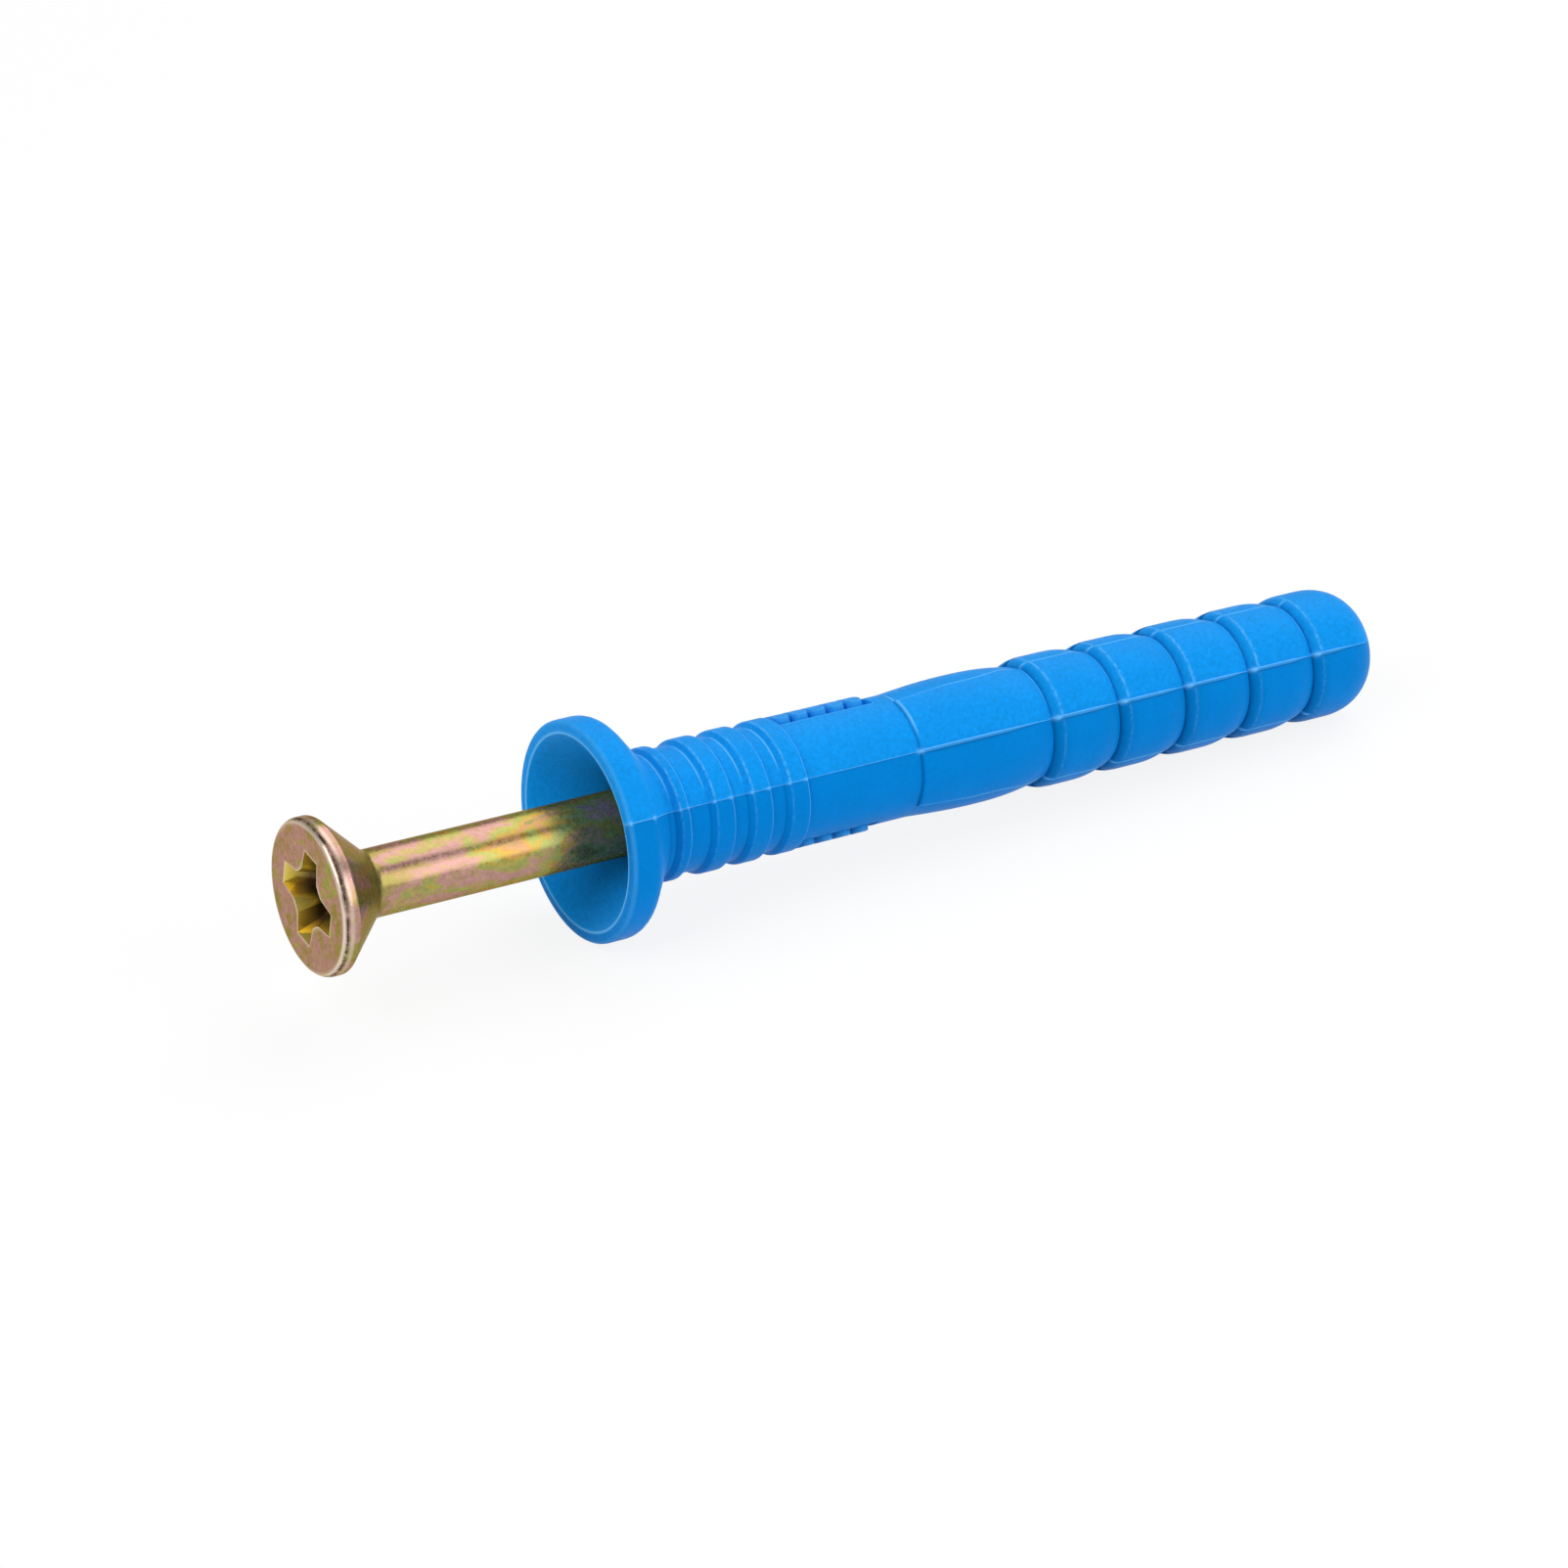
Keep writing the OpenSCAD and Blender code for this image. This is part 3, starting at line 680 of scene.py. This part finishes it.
def moulded_nylon():
    """Polyamide moulded in a spark-eroded tool: satin, with a fine grain, and painted highlights and shade.
    """
    material, tree, output = new_material("moulded_nylon")
    place_of = add(tree, "ShaderNodeTexCoord").outputs["Object"]
    marks = {key: add(tree, "ShaderNodeAttribute", {"attribute_name": key}).outputs["Fac"]
             for key in ("painted_light", "line", "dotted_highlight", "dark")}

    # Spark-eroded grain of 0.26 mm, and soft flow marks of about 3 mm
    grain = add(tree, "ShaderNodeTexNoise", {"Scale": 3800.0, "Detail": 3.0, "Roughness": 0.65},
                Vector=place_of)
    flow = add(tree, "ShaderNodeTexNoise", {"Scale": 330.0, "Detail": 2.0}, Vector=place_of)
    # Painted light: a lighter blue on the upper half and in the cup, a darker one on the lower half, whose
    # grain mottle is also weaker
    lit_and_shaded_halves = add(tree, "ShaderNodeMix", {"data_type": "RGBA", 6: linear("#007CCD"), 7: linear("#0E8EE2")},
                 i0=marks["painted_light"])
    mottle = add(tree, "ShaderNodeMapRange",
                 {"From Min": 0.3, "From Max": 0.7, "To Min": 0.87, "To Max": 1.13},
                 Value=grain.outputs["Fac"])
    grained = add(tree, "ShaderNodeMapRange", {"To Min": 0.4, "To Max": 1.0}, Value=marks["painted_light"])
    eroded = add(tree, "ShaderNodeMix", {"data_type": "FLOAT", 2: 1.0}, i0=grained.outputs[0],
                 i3=mottle.outputs[0])
    drift = add(tree, "ShaderNodeMapRange",
                {"From Min": 0.3, "From Max": 0.7, "To Min": 0.97, "To Max": 1.03},
                Value=flow.outputs["Fac"])
    both = add(tree, "ShaderNodeMath", {"operation": "MULTIPLY"}, i0=eroded.outputs[0],
               i1=drift.outputs[0])

    # Painted shade in grooves, below the flash, on the upper strips and in the cup
    shade = add(tree, "ShaderNodeMapRange", {"To Min": 1.0, "To Max": 0.58}, Value=marks["dark"])
    toned = add(tree, "ShaderNodeMath", {"operation": "MULTIPLY"}, i0=both.outputs[0], i1=shade.outputs[0])
    tinted = add(tree, "ShaderNodeVectorMath", {"operation": "SCALE"}, i0=lit_and_shaded_halves.outputs[2],
                 Scale=toned.outputs[0])

    # Painted highlights: pale lines at flash, knots and edges, and a dotted highlight broken up into dots
    # of 0.25 mm
    dots = add(tree, "ShaderNodeTexNoise", {"Scale": 4000.0, "Detail": 1.0}, Vector=place_of)
    broken = add(tree, "ShaderNodeMapRange",
                 {"From Min": 0.40, "From Max": 0.60, "To Min": 0.25, "To Max": 1.0},
                 Value=dots.outputs["Fac"])
    dotted_highlight = add(tree, "ShaderNodeMath", {"operation": "MULTIPLY"}, i0=marks["dotted_highlight"], i1=broken.outputs[0])
    edged = add(tree, "ShaderNodeMath", {"operation": "MULTIPLY", 1: 0.85}, i0=marks["line"])
    amount = add(tree, "ShaderNodeMath", {"operation": "MAXIMUM"}, i0=dotted_highlight.outputs[0], i1=edged.outputs[0])
    colour = add(tree, "ShaderNodeMix", {"data_type": "RGBA", 7: linear("#6CC0FA")},
                 i0=amount.outputs[0], i6=tinted.outputs[0])

    relief = add(tree, "ShaderNodeBump", {"Strength": 0.6, "Distance": 0.00004},
                 Height=grain.outputs["Fac"])
    shader = add(tree, "ShaderNodeBsdfPrincipled",
                 {"Roughness": 0.42, "IOR": 1.4, "Specular IOR Level": 0.06,
                  "Specular Tint": linear("#6CBEFF")},
                 Base_Color=colour.outputs[2], Normal=relief.outputs[0])
    tree.links.new(output.inputs[0], shader.outputs[0])
    return material


def passivated_steel():
    """Zinc plate under a yellow chromate film: a metal whose tint wanders through pink, gold and green.

    The film also scatters about a fifth of the light, so the metal is a little hazy.
    """
    material, tree, output = new_material("yellow_passivated_steel")
    place_of = add(tree, "ShaderNodeTexCoord").outputs["Object"]
    marks = {key: add(tree, "ShaderNodeAttribute", {"attribute_name": key}).outputs["Fac"]
             for key in ("recess", "wear_and_glint", "line", "film")}

    # The film's thickness drifts over 4 mm along the screw and 1.6 mm across, round its average
    stretched = add(tree, "ShaderNodeMapping", {"Scale": (0.4, 1.0, 1.0)}, Vector=place_of)
    drift = add(tree, "ShaderNodeTexNoise",
                {"Scale": 620.0, "Detail": 3.0, "Roughness": 0.55, "Distortion": 0.5},
                Vector=stretched.outputs[0])
    swing = add(tree, "ShaderNodeMapRange",
                {"From Min": 0.3, "From Max": 0.7, "To Min": -0.36, "To Max": 0.36},
                Value=drift.outputs["Fac"])
    thickness = add(tree, "ShaderNodeMath", {"operation": "ADD"}, i0=marks["film"], i1=swing.outputs[0])
    tint = add(tree, "ShaderNodeValToRGB", Fac=thickness.outputs[0])
    stops = (
        (0.00, "#968A4E"), (0.10, "#A48A5E"), (0.20, "#AE8A78"), (0.34, "#B68A84"), (0.44, "#AC9462"),
        (0.54, "#98A05A"), (0.66, "#B69444"), (0.76, "#B88A66"), (0.88, "#8C8A4C"), (1.00, "#806C44"))
    ramp = tint.color_ramp.elements
    ramp[0].color = linear(stops[0][1])
    ramp[1].color = linear(stops[-1][1])
    for where, colour in stops[1:-1]:
        ramp.new(where).color = linear(colour)

    # Specks of 0.1 to 0.3 mm, and the edges pale from worn plate with a painted glint
    speck = add(tree, "ShaderNodeTexNoise", {"Scale": 3200.0, "Detail": 4.0, "Roughness": 0.65},
                Vector=place_of)
    dull = add(tree, "ShaderNodeMapRange",
               {"From Min": 0.3, "From Max": 0.7, "To Min": 0.80, "To Max": 1.18},
               Value=speck.outputs["Fac"])
    dotted = add(tree, "ShaderNodeVectorMath", {"operation": "SCALE"}, i0=tint.outputs[0],
                 Scale=dull.outputs[0])
    bright = add(tree, "ShaderNodeMix", {"data_type": "RGBA", 7: linear("#F0E4D2")},
                 i0=marks["wear_and_glint"], i6=dotted.outputs[0])

    # A painted dark reflection on the head's edge, broken up into dashes of about 0.7 mm
    dashes = add(tree, "ShaderNodeTexNoise", {"Scale": 1400.0, "Detail": 3.0, "Roughness": 0.7},
                 Vector=place_of)
    breaks = add(tree, "ShaderNodeMapRange",
                 {"From Min": 0.40, "From Max": 0.56, "To Min": 0.0, "To Max": 1.0},
                 Value=dashes.outputs["Fac"])
    lined = add(tree, "ShaderNodeMath", {"operation": "MULTIPLY"}, i0=marks["line"],
                i1=breaks.outputs[0])
    edged = add(tree, "ShaderNodeMix", {"data_type": "RGBA", 7: linear("#2A1A10")},
                i0=lined.outputs[0], i6=bright.outputs[2])

    # The driver recess keeps a thick film, bright yellow near its mouth, with painted shade turning it
    # brown at the bottom
    inside = add(tree, "ShaderNodeMapRange", {"From Max": 0.3, "To Max": 0.85}, Value=marks["recess"])
    depth = add(tree, "ShaderNodeMapRange", {"From Min": 0.34, "From Max": 0.66}, Value=marks["recess"])
    film_and_depth_shade = add(tree, "ShaderNodeMix",
                {"data_type": "RGBA", 6: linear("#D8BE48"), 7: linear("#3A2C0E")}, i0=depth.outputs[0])
    colour = add(tree, "ShaderNodeMix", {"data_type": "RGBA"}, i0=inside.outputs[0],
                 i6=edged.outputs[2], i7=film_and_depth_shade.outputs[2])

    rough = add(tree, "ShaderNodeMapRange",
                {"From Min": 0.3, "From Max": 0.7, "To Min": 0.20, "To Max": 0.36},
                Value=speck.outputs["Fac"])
    smoother = add(tree, "ShaderNodeMapRange", {"To Min": 1.0, "To Max": 0.45}, Value=inside.outputs[0])
    gloss = add(tree, "ShaderNodeMath", {"operation": "MULTIPLY"}, i0=rough.outputs[0],
                i1=smoother.outputs[0])
    relief = add(tree, "ShaderNodeBump", {"Strength": 0.25, "Distance": 0.00003},
                 Height=speck.outputs["Fac"])
    shader = add(tree, "ShaderNodeBsdfPrincipled", {"Metallic": 0.78, "Specular Tint": linear("#BCA674")},
                 Base_Color=colour.outputs[2], Roughness=gloss.outputs[0], Normal=relief.outputs[0])
    tree.links.new(output.inputs[0], shader.outputs[0])
    return material


# How much of the floor that the camera and mirror-like surfaces see is plain white
FLOOR_WHITE = 0.86


def paper_floor():
    """Matt white paper. The camera and mirror-like surfaces see it mostly white, with a faint shadow."""
    material, tree, output = new_material("studio_paper")
    ray = add(tree, "ShaderNodeLightPath")
    paper = add(tree, "ShaderNodeBsdfDiffuse", {"Color": linear("#F4F4F4")})
    glow = add(tree, "ShaderNodeEmission", {"Color": linear("#FFFFFF"), "Strength": 1.0})
    seen = add(tree, "ShaderNodeMath", {"operation": "MAXIMUM"},
               i0=ray.outputs["Is Glossy Ray"], i1=ray.outputs["Is Transmission Ray"])
    seen = add(tree, "ShaderNodeMath", {"operation": "MAXIMUM"},
               i0=ray.outputs["Is Camera Ray"], i1=seen.outputs[0])
    share = add(tree, "ShaderNodeMath", {"operation": "MULTIPLY", 1: FLOOR_WHITE}, i0=seen.outputs[0])
    mixed = add(tree, "ShaderNodeMixShader", Fac=share.outputs[0], i1=paper.outputs[0], i2=glow.outputs[0])
    tree.links.new(output.inputs[0], mixed.outputs[0])
    return material


def finish_piece(piece, node, material):
    """Dresses a piece, lets it ride on the one body and stand for its CAD node."""
    piece.data.materials.append(material)
    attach(piece, "root")
    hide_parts(node)


finish_piece(make_plug(), "plug_sleeve", moulded_nylon())
finish_piece(make_screw(), "nail_screw", passivated_steel())

floor_mesh = bpy.data.meshes.new("studio_floor")
floor_mesh.from_pydata([(-3, -3, 0), (3, -3, 0), (3, 3, 0), (-3, 3, 0)], [], [(0, 1, 2, 3)])
floor_mesh.materials.append(paper_floor())
floor = bpy.data.objects.new("studio_floor", floor_mesh)
bpy.context.scene.collection.objects.link(floor)


def soft_light(name, direction, distance, size, radiance):
    """Square area light, all in metres, aimed at the part from a direction given as a vector.

    A square of side a and one-sided radiance L, where a white sheet is 1, sends out pi * a^2 * L watts.
    """
    data = bpy.data.lights.new(name, "AREA")
    data.shape = "SQUARE"
    data.size = size
    data.energy = math.pi * size ** 2 * radiance
    light = bpy.data.objects.new(name, data)
    away = Vector(direction).normalized()
    light.location = away * distance
    light.rotation_euler = away.to_track_quat("Z", "Y").to_euler()
    bpy.context.scene.collection.objects.link(light)


soft_light("front_box", (0.45, -0.78, 0.44), 0.55, 0.40, 2.45)
soft_light("back_box", (0.53, 0.30, 0.79), 0.55, 0.56, 2.0)
soft_light("left_box", (-0.74, -0.14, 0.66), 0.50, 0.40, 2.6)

# Dim grey studio round the lamps, darker overhead
world = bpy.data.worlds.new("studio_world")
world.use_nodes = True
air = world.node_tree
toward = add(air, "ShaderNodeTexCoord")
height_of = add(air, "ShaderNodeSeparateXYZ", Vector=toward.outputs["Generated"])
dimmed = add(air, "ShaderNodeMapRange", {"From Min": 0.1, "From Max": 0.9, "To Min": 0.46, "To Max": 0.25},
             Value=height_of.outputs["Z"])
air.links.new(air.nodes["Background"].inputs["Strength"], dimmed.outputs[0])
air.nodes["Background"].inputs["Color"].default_value = linear("#FFFFFF")
bpy.context.scene.world = world

# Camera, placed from the rim along the axis, near and up: 5000 pixels of focal length over 1603 pixels
FRAME_PIXELS = 1603
FOCAL_PIXELS = 5000
SENSOR_MM = 36.0
CAMERA_FROM_RIM = (-137.832, 231.561, 136.568)
CAMERA_LOOK = (0.494607, -0.748436, -0.441824)
CAMERA_SKY = (-0.046929, 0.0, 0.998898)
frame_of_plug = np.stack([axis, near, up], 1)
forward = Vector(frame_of_plug @ CAMERA_LOOK).normalized()
right = forward.cross(Vector(frame_of_plug @ CAMERA_SKY)).normalized()
turned = Matrix((right, right.cross(forward), -forward)).transposed()
camera_data = bpy.data.cameras.new("camera")
camera_data.sensor_width = SENSOR_MM
camera_data.sensor_fit = "HORIZONTAL"
camera_data.lens = SENSOR_MM * FOCAL_PIXELS / FRAME_PIXELS
camera_data.clip_start = 0.01
camera_data.clip_end = 20.0
camera = bpy.data.objects.new("camera", camera_data)
camera.location = Vector((rim + frame_of_plug @ CAMERA_FROM_RIM) * MM)
camera.rotation_euler = turned.to_euler()
bpy.context.scene.collection.objects.link(camera)
bpy.context.scene.camera = camera

bpy.context.scene.view_settings.view_transform = "Standard"
